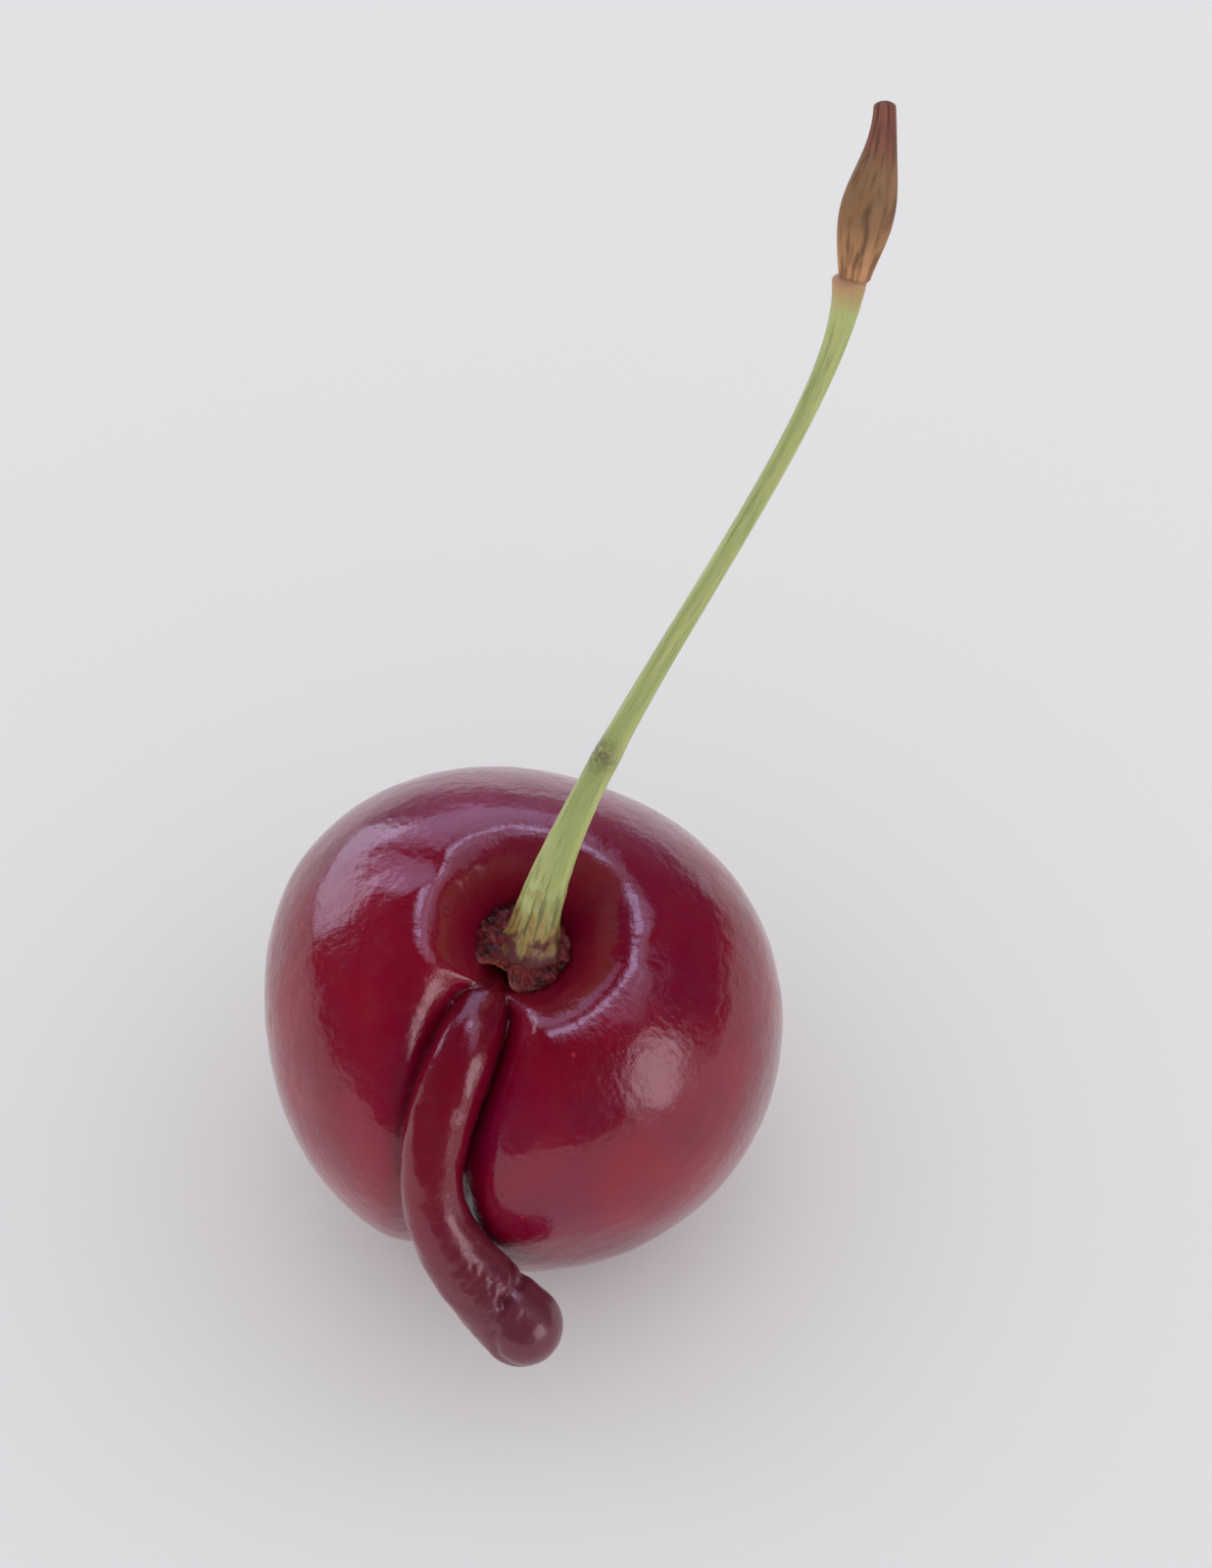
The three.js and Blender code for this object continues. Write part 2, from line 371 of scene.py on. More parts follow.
@dataclass(frozen=True)
class CherrySkin(Finish):
    """Ripe cherry skin: a thin waxy cuticle over crimson flesh. It gives the eye a deep saturated
    red, sharp reflections with a pebbled edge, and a pale haze at grazing angles."""

    name: str = "waxy_cherry_skin"
    deep: str = "#6A001D"
    bright: str = "#7C0220"
    plum: str = "#620030"
    # painted shade: darker red laid into the cavity, the furrows and the seam where the outgrowth meets the
    # body
    crevice_shade: str = "#50000C"
    outgrowth: str = "#69031D"
    dull_end: str = "#5E1C2C"
    fleck: str = "#B4303A"
    # painted sheen: lavender laid on the back of the shoulder for the haze of the back lights' reflection
    painted_back_sheen: str = "#A07CA8"
    haze: str = "#AE96F0"
    pebble_mm: float = 0.42  # cells of the cuticle's orange-peel
    swell_mm: float = 1.5  # slower unevenness under it
    wax_mm: float = 0.9  # patches where the wax is thicker and duller
    mottle_mm: float = 5.0
    plum_mm: float = 8.0
    fleck_mm: float = 1.5  # between the small pale flecks
    fleck_patch_mm: float = 3.0  # of the patches that have flecks
    swell_depth: float = 0.04  # mm
    pebble_depth: float = 0.04
    strand_depth: float = 0.016
    roughness: tuple[float, float] = (0.16, 0.24)  # clean cuticle, and thick wax
    dull_roughness: float = 0.13  # added at the outgrowth's dull end

    def nodes(self, tree: bpy.types.NodeTree) -> None:
        """Builds the crimson flesh colour, its flecks, painted shade in its hollows, a painted lavender
        sheen on the back of the shoulder, and the pebbled cuticle.

        Args:
            tree: The material's empty tree.
        """
        add = partial(add_node, tree)
        place = add("TexCoord").outputs["Object"]
        pebble, swell, wax, mottle, plum, flecked = (
            add("TexNoise", {"Vector": place, "Scale": 1.0 / (size * MM), "Detail": detail})
            for size, detail in (
                (self.pebble_mm, 3.0),
                (self.swell_mm, 1.0),
                (self.wax_mm, 2.0),
                (self.mottle_mm, 2.0),
                (self.plum_mm, 1.0),
                (self.fleck_patch_mm, 2.0),
            )
        )
        strand_place = add("Attribute", attribute_name="strand").outputs["Vector"]
        strand = add("TexNoise", {"Vector": strand_place, "Scale": 1.0, "Detail": 2.0})
        finger, dull, hollow, back_sheen_mask = (
            add("Attribute", attribute_name=name).outputs["Fac"]
            for name in ("outgrowth", "dull_end", "hollow", "painted_back_sheen")
        )
        cells = add("TexVoronoi", {"Vector": place, "Scale": 1.0 / (self.fleck_mm * MM)})
        dot = add("MapRange", (cells, 0.05, 0.1, 0.55, 0.0))
        patch = add("MapRange", (flecked, 0.52, 0.62))
        cloudy = add("MapRange", (mottle, 0.2, 0.6, 0.6))
        layers = (
            (add("MapRange", (mottle, 0.3, 0.7)), self.bright),
            (add("MapRange", (plum, 0.5, 0.75, 0.0, 0.6)), self.plum),
            (finger, self.outgrowth),
            (dull, self.dull_end),
            # painted shade in the cavity, the furrows and along the outgrowth's seam, read from the hollow
            # attribute
            (hollow, self.crevice_shade),
            # painted lavender sheen on the back of the shoulder
            (add("Math", (back_sheen_mask, cloudy), operation="MULTIPLY"), self.painted_back_sheen),
            (add("Math", (dot, patch), operation="MULTIPLY"), self.fleck),
        )
        base = colour(self.deep)
        for share, code in layers:
            base = add("MixRGB", (share, base, colour(code)))
        relief = {}
        bumps = (swell, self.swell_depth), (pebble, self.pebble_depth), (strand, self.strand_depth)
        for height, depth in bumps:
            relief = {"Normal": add("Bump", {"Height": height, "Distance": depth * MM, **relief})}
        waxy = add("MapRange", (wax, 0.3, 0.7, *self.roughness))
        rough = add("Math", (dull, self.dull_roughness, waxy), operation="MULTIPLY_ADD")
        shader = add(
            "BsdfPrincipled",
            {
                "Base Color": base,
                "Roughness": rough,
                "IOR": 1.45,
                "Subsurface Weight": 0.12,
                "Subsurface Radius": (1.0, 0.12, 0.08),
                "Subsurface Scale": 1.2 * MM,
                "Coat Weight": 0.35,
                "Coat Roughness": 0.07,
                "Coat IOR": 1.45,
                "Sheen Weight": 0.03,
                "Sheen Roughness": 0.3,
                "Sheen Tint": colour(self.haze),
                **relief,
            },
        )
        add("OutputMaterial", {"Surface": shader})


@dataclass(frozen=True)
class GreenStem(Finish):
    """Cherry pedicel: green plant skin drawn out lengthwise. It gives the eye a satin yellow-green
    with fine lengthwise lines, brown and maroon at its foot and tan where it was picked."""

    name: str = "green_cherry_stem"
    green: str = "#8E9856"
    pale: str = "#A5AA6A"
    line: str = "#5F6B36"
    ochre: str = "#8A7438"
    pale_ochre: str = "#A08048"
    maroon: str = "#5C2222"
    streak: str = "#4A4A22"
    bruise: str = "#5C5A35"
    tan: str = "#A3724E"
    line_spacing: float = 0.2  # of the fine lengthwise lines, over the stem's radius: 0.1 to 0.3 mm
    band_spacing: float = 0.7  # of the broader ones, over the radius
    speck_mm: float = 0.22
    blotch_mm: float = 0.7  # raggedness of the colour's edges
    line_depth: float = 0.05  # mm
    speck_depth: float = 0.02
    roughness: tuple[float, float] = (0.4, 0.56)

    def nodes(self, tree: bpy.types.NodeTree) -> None:
        """Builds the lengthwise lines and the change of colour along the stem.

        Args:
            tree: The material's empty tree.
        """
        add = partial(add_node, tree)
        place = add("TexCoord").outputs["Object"]
        grain = add("Attribute", attribute_name="grain").outputs["Vector"]
        along, bruised = (
            add("Attribute", attribute_name=name).outputs["Fac"] for name in ("along", "bruise")
        )
        fine = add("TexNoise", {"Vector": grain, "Scale": 1.0 / self.line_spacing, "Detail": 3.0})
        broad = add("TexNoise", {"Vector": grain, "Scale": 1.0 / self.band_spacing, "Detail": 2.0})
        speck = add("TexNoise", {"Vector": place, "Scale": 1.0 / (self.speck_mm * MM), "Detail": 3.0})
        blotch = add("TexNoise", {"Vector": place, "Scale": 1.0 / (self.blotch_mm * MM), "Detail": 3.0})
        stray = add("MapRange", (blotch, 0.3, 0.7, -1.0, 1.0))
        ragged = add("MapRange", (fine, 0.3, 0.7, -0.5, 0.5))
        height = add("Math", (add("Math", (along, stray)), ragged))  # mm up the stem, strayed
        low = add("MapRange", (along, 1.2, 5.5, 1.0, 0.0))
        streaked = add("MapRange", (fine, 0.5, 0.6, 0.0, 0.85))
        bruise = add("MapRange", (speck, 0.3, 0.6))
        layers = (
            (add("MapRange", (broad, 0.35, 0.65)), self.pale),
            (add("MapRange", (fine, 0.56, 0.7, 0.0, 0.5)), self.line),
            (add("MapRange", (height, 1.6, 3.4, 0.9, 0.0)), self.ochre),
            (add("MapRange", (height, 1.5, 2.1, 0.5, 0.0)), self.pale_ochre),
            (add("Math", (low, streaked), operation="MULTIPLY"), self.streak),
            (add("MapRange", (height, 0.2, 1.4, 1.0, 0.0)), self.maroon),
            (add("Math", (bruised, bruise), operation="MULTIPLY"), self.bruise),
            (add("MapRange", (along, 33.8, 35.6)), self.tan),  # the stem is 35 mm long
        )
        base = colour(self.green)
        for share, code in layers:
            base = add("MixRGB", (share, base, colour(code)))
        relief = {}
        for layer, depth in ((fine, self.line_depth), (speck, self.speck_depth)):
            relief = {"Normal": add("Bump", {"Height": layer, "Distance": depth * MM, **relief})}
        shader = add(
            "BsdfPrincipled",
            {
                "Base Color": base,
                "Roughness": add("MapRange", (speck, 0.3, 0.7, *self.roughness)),
                "Subsurface Weight": 0.1,
                "Subsurface Radius": (0.6, 0.8, 0.3),
                "Subsurface Scale": 0.5 * MM,
                **relief,
            },
        )
        add("OutputMaterial", {"Surface": shader})


@dataclass(frozen=True)
class DriedCup(Finish):
    """Dried flower cup: shrunken, wrinkled plant tissue. It gives the eye a dull maroon-brown with
    ochre blotches, a painted highlight of paler pink on the lifted lips beside the arch, and small
    glints."""

    name: str = "dried_flower_cup"
    maroon: str = "#701C22"
    dark: str = "#380C10"
    # painted highlight: paler pink on the lifted lips beside the arch
    fold: str = "#96504E"
    ochre: str = "#9A7038"
    rim: str = "#A8762E"
    blotch_mm: float = 0.6
    speck_mm: float = 0.13
    fibre_turn: float = 0.16  # radians between the radial fibres: 0.36 mm at the edge
    fibre_depth: float = 0.1  # mm
    speck_depth: float = 0.02
    roughness: tuple[float, float] = (0.32, 0.58)

    def nodes(self, tree: bpy.types.NodeTree) -> None:
        """Builds the blotched dry tissue, its radial fibres, the ochre lining of its arch and a painted
        highlight on the lips beside the arch.

        Args:
            tree: The material's empty tree.
        """
        add = partial(add_node, tree)
        place = add("TexCoord").outputs["Object"]
        grain = add("Attribute", attribute_name="grain").outputs["Vector"]
        lining, fold = (
            add("Attribute", attribute_name=name).outputs["Fac"] for name in ("lining", "fold")
        )
        blotch = add("TexNoise", {"Vector": place, "Scale": 1.0 / (self.blotch_mm * MM), "Detail": 3.0})
        fine = add("TexNoise", {"Vector": place, "Scale": 1.0 / (self.speck_mm * MM), "Detail": 3.0})
        fibre = add("TexNoise", {"Vector": grain, "Scale": 1.0 / self.fibre_turn, "Detail": 3.0})
        lined = add("MapRange", (fine, 0.3, 0.55))
        layers = (
            (add("MapRange", (blotch, 0.36, 0.56)), self.maroon),
            # painted highlight on the lifted lips beside the arch
            (fold, self.fold),
            (add("MapRange", (fibre, 0.55, 0.68, 0.0, 0.5)), self.dark),
            (add("MapRange", (fine, 0.58, 0.7, 0.0, 0.5)), self.ochre),
            (add("Math", (lining, lined), operation="MULTIPLY"), self.rim),
        )
        base = colour(self.dark)
        for share, code in layers:
            base = add("MixRGB", (share, base, colour(code)))
        relief = {}
        for layer, depth in ((fibre, self.fibre_depth), (fine, self.speck_depth)):
            relief = {"Normal": add("Bump", {"Height": layer, "Distance": depth * MM, **relief})}
        rough = add("MapRange", (fine, 0.3, 0.7, *self.roughness))
        shader = add(
            "BsdfPrincipled", {"Base Color": base, "Roughness": rough, "Specular IOR Level": 0.3, **relief}
        )
        add("OutputMaterial", {"Surface": shader})


@dataclass(frozen=True)
class DriedScale(Finish):
    """Dried bud scale: papery brown plant tissue. It gives the eye a dull ochre-brown with darker
    lengthwise fibres, reddish at its tip."""

    name: str = "dried_bud_scale"
    tan: str = "#AC7A50"
    brown: str = "#805A34"
    dark: str = "#4A2F1C"
    tip: str = "#7C4434"
    fibre_spacing: float = 0.3  # of the lengthwise fibres, over the scale's radius
    fibre_depth: float = 0.08  # mm
    roughness: tuple[float, float] = (0.62, 0.8)

    def nodes(self, tree: bpy.types.NodeTree) -> None:
        """Builds the fibres and the change of colour along the scale.

        Args:
            tree: The material's empty tree.
        """
        add = partial(add_node, tree)
        grain = add("Attribute", attribute_name="grain").outputs["Vector"]
        along = add("Attribute", attribute_name="along").outputs["Fac"]
        fibre = add("TexNoise", {"Vector": grain, "Scale": 1.0 / self.fibre_spacing, "Detail": 3.0})
        layers = (
            (add("MapRange", (along, 0.6, 2.6)), self.brown),
            (add("MapRange", (along, 5.0, 6.6)), self.tip),
            (add("MapRange", (fibre, 0.5, 0.68, 0.0, 0.75)), self.dark),
        )
        base = colour(self.tan)
        for share, code in layers:
            base = add("MixRGB", (share, base, colour(code)))
        rough = add("MapRange", (fibre, 0.3, 0.7, *self.roughness))
        relief = add("Bump", {"Height": fibre, "Distance": self.fibre_depth * MM})
        shader = add("BsdfPrincipled", {"Base Color": base, "Roughness": rough, "Normal": relief})
        add("OutputMaterial", {"Surface": shader})


@dataclass(frozen=True)
class TableTop(Finish):
    """Matt white board: a pale, slightly cool surface with no reflections of its own."""

    name: str = "pale_table"
    pale: str = "#EEEEF0"

    def nodes(self, tree: bpy.types.NodeTree) -> None:
        """Builds a plain pale surface."""
        shader = add_node(tree, "BsdfDiffuse", {"Color": colour(self.pale)})
        add_node(tree, "OutputMaterial", {"Surface": shader})


# ------------------------------------------------------------------------------------ limbs


def sweep(foot: Array, handles: Array, end: Array, count: int = 800) -> Array:
    """Bezier curve that leaves foot towards the first handle and reaches end from the second.

    Args:
        foot: Where it starts, mm.
        handles: Its two handles, mm, shape (2, 3).
        end: Where it ends, mm.
        count: How many points to give.

    Returns:
        Points on the curve, shape (count, 3).
    """
    t = np.linspace(0.0, 1.0, count)[:, None]
    first, second = np.asarray(handles, float)
    return (
        (1.0 - t) ** 3 * np.asarray(foot)
        + 3.0 * t * (1.0 - t) ** 2 * first
        + 3.0 * t**2 * (1.0 - t) * second
        + t**3 * np.asarray(end)
    )


def run_length(line: Array) -> Array:
    """Distance from the start of a line to each of its points."""
    return np.concatenate([[0.0], np.cumsum(np.linalg.norm(np.diff(line, axis=0), axis=1))])


@dataclass
class Limb:
    """A round-ended limb: a circle of changing radius carried along a line."""

    line: Array  # points close together along the middle, mm
    line_radius: Array  # radius at each of them, mm
    around: int
    along: int
    cap_rings: int = 10
    end_length: tuple[float, float] = (1.0, 1.0)  # length of each rounded end over its radius
    facing: tuple[float, float, float] = (0.0, -0.643, 0.766)  # the side that angle 0 looks to
    flatness: float = 1.0

    def __post_init__(self) -> None:
        """Measures the line and lays the rings out evenly along it."""
        self.line_arc = run_length(self.line)
        self.length = float(self.line_arc[-1])
        body = np.linspace(0.0, self.length, self.along)
        cap = np.linspace(0.0, math.pi / 2.0, self.cap_rings + 1)[1:-1]
        self.arc = np.concatenate([np.zeros(len(cap)), body, np.full(len(cap), self.length)])
        radii = np.interp(body, self.line_arc, self.line_radius)
        first, last = radii[0], radii[-1]
        self.swell = np.concatenate([np.sin(cap), np.ones(len(body)), np.sin(cap[::-1])])
        self.radius = self.swell * np.concatenate([np.full(len(cap), first), radii, np.full(len(cap), last)])
        reach = np.concatenate(
            [
                -first * self.end_length[0] * np.cos(cap),
                np.zeros(len(body)),
                last * self.end_length[1] * np.cos(cap[::-1]),
            ]
        )
        slope = np.gradient(self.line, self.line_arc, axis=0)
        ahead = unit(self.along_line(slope))
        out = np.asarray(self.facing)
        self.front = unit(out - (ahead @ out)[:, None] * ahead)
        self.side = np.cross(ahead, self.front)
        at = self.along_line(self.line)
        self.centre = at + reach[:, None] * ahead
        self.poles = np.stack(
            [at[0] - first * self.end_length[0] * ahead[0], at[-1] + last * self.end_length[1] * ahead[-1]]
        )

    def along_line(self, values: Array) -> Array:
        """Values given at the line's points, brought to the rings."""
        return np.stack([np.interp(self.arc, self.line_arc, values[:, k]) for k in range(3)], axis=-1)

    def surface(self, relief: Array | float = 0.0) -> tuple[Array, Array, Array]:
        """Vertices of the limb.

        A vertex is the line's point, plus the ring's radius and the relief there, along the
        direction that turns round the line from the facing side. Relief fades out in the caps.

        Args:
            relief: Height over the plain tube in mm, shape (rings, around) or one number.

        Returns:
            The vertices (n, 3), and for each vertex its distance along the line and its angle.
        """
        turn = np.arange(self.around) * (TURN / self.around)
        radius = self.radius[:, None] + relief * self.swell[:, None]
        outward = (
            np.cos(turn)[None, :, None] * self.front[:, None, :] * self.flatness
            + np.sin(turn)[None, :, None] * self.side[:, None, :]
        )
        rings = self.centre[:, None, :] + radius[..., None] * outward
        arc = np.repeat(self.arc, self.around)
        angle = np.tile(turn, len(self.arc))
        points = np.concatenate([rings.reshape(-1, 3), self.poles])
        return points, np.append(arc, [0.0, self.length]), np.append(angle, [0.0, 0.0])

    def grid(self) -> tuple[Array, Array]:
        """Distance along and angle round, as (rings, 1) and (1, around) arrays for a relief."""
        turn = np.arange(self.around) * (TURN / self.around)
        return self.arc[:, None], np.where(turn > math.pi, turn - TURN, turn)[None, :]

    def faces(self) -> list[Array]:
        """Faces for the vertices that surface() gives."""
        return ring_faces(len(self.arc), self.around)

    def distance(self, points: Array) -> tuple[Array, Array]:
        """How far points are outside the plain tube, by way of every eighth point of its line.

        Args:
            points: Places in mm, shape (n, 3).

        Returns:
            The distance of each, negative inside the tube, and where along the tube it is, in mm.
        """
        coarse = slice(None, None, 8)  # the line's points are far closer together than the radius
        away = np.linalg.norm(points[:, None, :] - self.line[None, coarse, :], axis=-1)
        gap = away - self.line_radius[coarse]
        nearest = gap.argmin(axis=1)
        return gap[np.arange(len(points)), nearest], self.line_arc[coarse][nearest]


def crease(along: Array, turn: Array, start: Sequence[float], end: Sequence[float], width: float) -> Array:
    """Bell-shaped section along a straight stroke on an unrolled limb.

    Args:
        along: Distance along the limb, mm.
        turn: Distance round the limb, mm.
        start: Where the stroke starts, as (along, turn).
        end: Where it ends; the same place gives a round pit.
        width: Half width, mm.

    Returns:
        1 on the stroke, falling to 0 beside it.
    """
    run = np.asarray(end, float) - np.asarray(start, float)
    share = ((along - start[0]) * run[0] + (turn - start[1]) * run[1]) / max(run @ run, NO_LENGTH)
    share = np.clip(share, 0.0, 1.0)
    away = np.hypot(along - start[0] - share * run[0], turn - start[1] - share * run[1])
    return bell(away, width)


# ------------------------------------------------------------------------------------ fruit


@dataclass(frozen=True)
class Swelling:
    """A gentle swelling, or hollow, of the fruit's outline."""

    polar: float  # of its middle, degrees from the stem end
    azimuth: float  # degrees from the front towards +X
    spread: float  # degrees
    height: float  # mm

    def at(self, heading: Array) -> Array:
        """Height of the swelling: a bell of the angle from its middle.

        Args:
            heading: Unit vectors from the fruit's middle, shape (..., 3).

        Returns:
            Heights in mm, shape (...).
        """
        middle = direction(np.radians(self.polar), np.radians(self.azimuth))
        away = np.degrees(np.arccos(np.clip(heading @ middle, -1.0, 1.0)))
        return self.height * bell(away, self.spread)


@dataclass(frozen=True)
class Furrow:
    """A furrow that runs down from the cavity; pairs go from upper to lower stretch."""

    depth: tuple[float, float]  # mm
    azimuth: tuple[float, float]  # degrees from the front towards +X
    half_width: tuple[float, float]  # mm
    over: tuple[float, float]  # polar degrees between which the upper stretch turns to the lower
    start: tuple[float, float]  # polar degrees between which it opens
    end: tuple[float, float]  # and closes
    power: float = 2.3  # steepness of its walls

    def at(self, polar: Array, azimuth: Array, lateral: Array) -> Array:
        """Depth of the furrow: a steep-walled bell of the distance aside, opening and closing along it.

        Args:
            polar: Angle from the stem end, radians.
            azimuth: Angle from the front towards +X, radians.
            lateral: Distance from the fruit's axis, mm.

        Returns:
            Depth in mm.
        """
        degrees = np.degrees(polar)
        along = smoothstep(degrees, *self.over)
        turn = azimuth - np.radians(lerp(self.azimuth, along))
        aside = np.abs(np.arctan2(np.sin(turn), np.cos(turn))) * lateral
        section = np.exp(-((aside / lerp(self.half_width, along)) ** self.power))
        opening = smoothstep(degrees, *self.start) * (1.0 - smoothstep(degrees, *self.end))
        return lerp(self.depth, along) * section * opening


@dataclass
class Fruit:
    """The fruit with its outgrowth: one closed skin."""

    radius: float = 12.45  # mm, as all of its lengths are
    half_height: float = 11.2
    squareness: float = 2.15
    tilt: float = 15.0  # degrees towards -Y
    rest_spot_depth: float = 0.4
    cavity_depth: float = 3.9
    cavity_radius: float = 4.4
    cavity_left_inset: float = 0.9
    blossom_depth: float = 0.3
    blossom_radius: float = 1.4
    steps: tuple[int, int] = (336, 210)  # vertices round it, and rings
    ring_crowding: float = 0.035  # how far the rings close up towards both ends
    painted_sheen_share: float = 0.2  # how much of its colour the painted lavender sheen gives the back of the shoulder
    strand_density: float = 22.0  # strands in a radian round the axis
    strand_cut: float = 0.6  # breaks in a mm of strand
    seam_width: float = 0.3  # mm from both surfaces over which their seam is softened
    seam_rounds: int = 12
    swellings: tuple[Swelling, ...] = (
        Swelling(72, -120, 34, 0.5),  # left shoulder
        Swelling(62, 156, 40, -0.95),  # flat back
        Swelling(95, -86, 30, -0.4),  # slack left side
        Swelling(80, -48, 30, 0.15),  # left lobe
        Swelling(75, 40, 40, 0.2),  # right lobe
        Swelling(112, 0, 40, -0.2),  # slack front
    )
    furrows: tuple[Furrow, ...] = (
        Furrow((3.9, 1.8), (-24, -19), (2.3, 1.8), (30, 72), (10, 26), (90, 130)),
        Furrow((0.2, 0.2), (72, 96), (0.9, 1.6), (20, 50), (14, 24), (36, 62)),
        Furrow((0.25, 0.25), (-128, -118), (1.0, 1.8), (20, 50), (14, 26), (34, 60)),
    )
    outgrowth_stations: tuple[tuple[float, float, float, float], ...] = (
        (-1.5, -3.5, 17.0, 1.3),  # x, y, z and radius, from inside the cavity
        (-2.3, -6.5, 17.5, 1.6),
        (-3.6, -9.5, 15.5, 1.65),
        (-4.0, -12.0, 12.0, 1.5),
        (-2.5, -13.5, 9.0, 1.75),
        (0.0, -15.0, 6.5, 2.0),
    )

    def __post_init__(self) -> None:
        """Finds how high the fruit's middle stands over its resting spot."""
        lean = math.radians(self.tilt)
        self.lean = np.array(
            [[1.0, 0.0, 0.0], [0.0, math.cos(lean), -math.sin(lean)], [0.0, math.sin(lean), math.cos(lean)]]
        )
        foot = math.pi - lean
        lowest = self.lean @ (direction(foot, 0.0) * self.skin(np.array(foot), np.array(0.0))[0])
        self.middle = np.array([0.0, 0.0, -lowest[2] - self.rest_spot_depth])
        stations = np.array(self.outgrowth_stations)
        knots = run_length(stations[:, :3])
        smooth = spline(knots, stations, np.linspace(0.0, knots[-1], 800))
        self.outgrowth = Limb(smooth[:, :3], smooth[:, 3], around=96, along=200, cap_rings=18)

    def skin(self, polar: Array, azimuth: Array) -> tuple[Array, Array]:
        """Distance from the fruit's middle to its skin, and how far the skin is sunk there.

        The distance is a superellipse with its swellings, less the fourth-power sum of cavity and
        furrows, which run into each other without a step.

        Args:
            polar: Angle from the stem end, radians.
            azimuth: Angle from the front towards +X, radians.

        Returns:
            Distance and sunk depth in mm.
        """
        across = (np.sin(polar) / self.radius) ** self.squareness
        along = (np.abs(np.cos(polar)) / self.half_height) ** self.squareness
        whole = (across + along) ** (-1.0 / self.squareness)
        lateral = whole * np.sin(polar)
        upper = polar < math.pi / 2.0
        heading = direction(polar, azimuth)
        swelling = sum(swell.at(heading) for swell in self.swellings)
        bowl = self.cavity_radius - self.cavity_left_inset * ((1.0 - np.sin(azimuth)) / 2.0) ** 3
        cavity = np.where(upper, self.cavity_depth * np.exp(-((lateral / bowl) ** 4)), 0.0)
        deep = cavity**4 + sum(furrow.at(polar, azimuth, lateral) ** 4 for furrow in self.furrows)
        sunk = deep**0.25
        blossom = np.where(upper, 0.0, self.blossom_depth * bell(lateral, self.blossom_radius))
        return whole + swelling - sunk - blossom, sunk

    def to_world(self, local: Array) -> Array:
        """Places in the fruit's own frame, leaned forward and lifted."""
        return local @ self.lean.T + self.middle

    def to_local(self, points: Array) -> Array:
        """Places in the fruit's own frame, whose Z is its axis."""
        return (points - self.middle) @ self.lean

    def body(self) -> bpy.types.Object:
        """Makes the two-lobed body, a globe of rings from stem end to blossom end.

        Low ripples cover it, and stronger ones the rim of the cavity and furrows.

        Returns:
            The body.
        """
        around, rings = self.steps
        share = np.linspace(0.0, 1.0, rings + 2)[1:-1]
        polar = math.pi * (share - self.ring_crowding * np.sin(TURN * share))
        azimuth = np.arange(around) * (TURN / around)
        distance, sunk = self.skin(polar[:, None], azimuth[None, :])
        heading = direction(polar[:, None], azimuth[None, :])
        local = heading * distance[..., None]
        rim = smoothstep(sunk, 0.1, 0.9) * (1.0 - smoothstep(sunk, 2.8, 3.8))
        relief = 0.02 * ripple(local, 4.5, 53) + 0.006 * ripple(local, 1.6, 54)
        relief = relief + rim * (0.035 * ripple(local, 2.4, 51) + 0.014 * ripple(local, 1.1, 52))
        local = local + heading * relief[..., None]
        ends = np.stack(
            [direction(p, 0.0) * self.skin(np.array(p), np.array(0.0))[0] for p in (0.0, math.pi)]
        )
        points = np.concatenate([self.to_world(local).reshape(-1, 3), self.to_world(ends)])
        return mesh_object("fruit_body", points, ring_faces(rings, around))

    def finger_relief(self) -> Array:
        """Unevenness of the outgrowth in mm over the plain tube.

        A cleft parts its head in two. Near its round end a pucker sinks in, a fold runs from it
        round the left side, a crease runs from it over the round end, and small bumps lead up to it.

        Returns:
            Heights, shape (rings, around).
        """
        along, turn = self.outgrowth.grid()
        length = self.outgrowth.length
        width = 1.6 * turn  # mm round it, at its usual radius
        pucker = (length - 1.9, -0.35)
        over_end = (length - 1.1, 0.9)
        strokes = (  # start and end as (along, round), half width and depth, all in mm
            ((-1.0, 0.35), (0.9, 0.25), 0.3, 0.2),  # cleft
            (pucker, pucker, 0.3, 0.16),
            (pucker, (length - 1.7, -2.8), 0.3, 0.17),  # fold round the left side
            ((length - 2.0, -0.8), (length - 2.9, -2.2), 0.14, 0.12),  # finer fold above it
            (pucker, over_end, 0.2, 0.1),
            (over_end, (length + 0.2, 1.9), 0.24, 0.12),
        )
        relief = 0.03 * np.cos(2.0 * turn) * smoothstep(along, 1.0, 4.0)
        for start, end, half_width, depth in strokes:
            relief = relief - depth * crease(along, width, start, end, half_width)
        leading = bell(width - 0.2, 1.1) * bell(along - length + 2.8, 1.9)
        place = np.stack(np.broadcast_arrays(along, width, 0.0 * along), axis=-1)
        relief += leading * (0.03 * ripple(place, 0.75, 41) + 0.018 * ripple(place, 0.38, 42))
        return relief + 0.02 * ripple(place, 1.6, 43)

    def finger(self) -> bpy.types.Object:
        """The outgrowth as a closed limb."""
        points, _, _ = self.outgrowth.surface(self.finger_relief())
        return mesh_object("fruit_finger", points, self.outgrowth.faces())

    def joined(self) -> bpy.types.Object:
        """Joins body and outgrowth into one skin.

        Returns:
            The joined mesh's object, in place of the two.
        """
        body, finger = self.body(), self.finger()
        union = body.modifiers.new("grown_together", "BOOLEAN")
        union.operation = "UNION"
        union.solver = "EXACT"
        union.object = finger
        ready = body.evaluated_get(bpy.context.evaluated_depsgraph_get())
        mesh = bpy.data.meshes.new_from_object(ready)
        mesh.name = Piece.FRUIT.value
        for part in (body, finger):
            bpy.data.objects.remove(part)
        fruit = bpy.data.objects.new(Piece.FRUIT.value, mesh)
        bpy.context.scene.collection.objects.link(fruit)
        mesh.polygons.foreach_set("use_smooth", np.ones(len(mesh.polygons), bool))
        return fruit

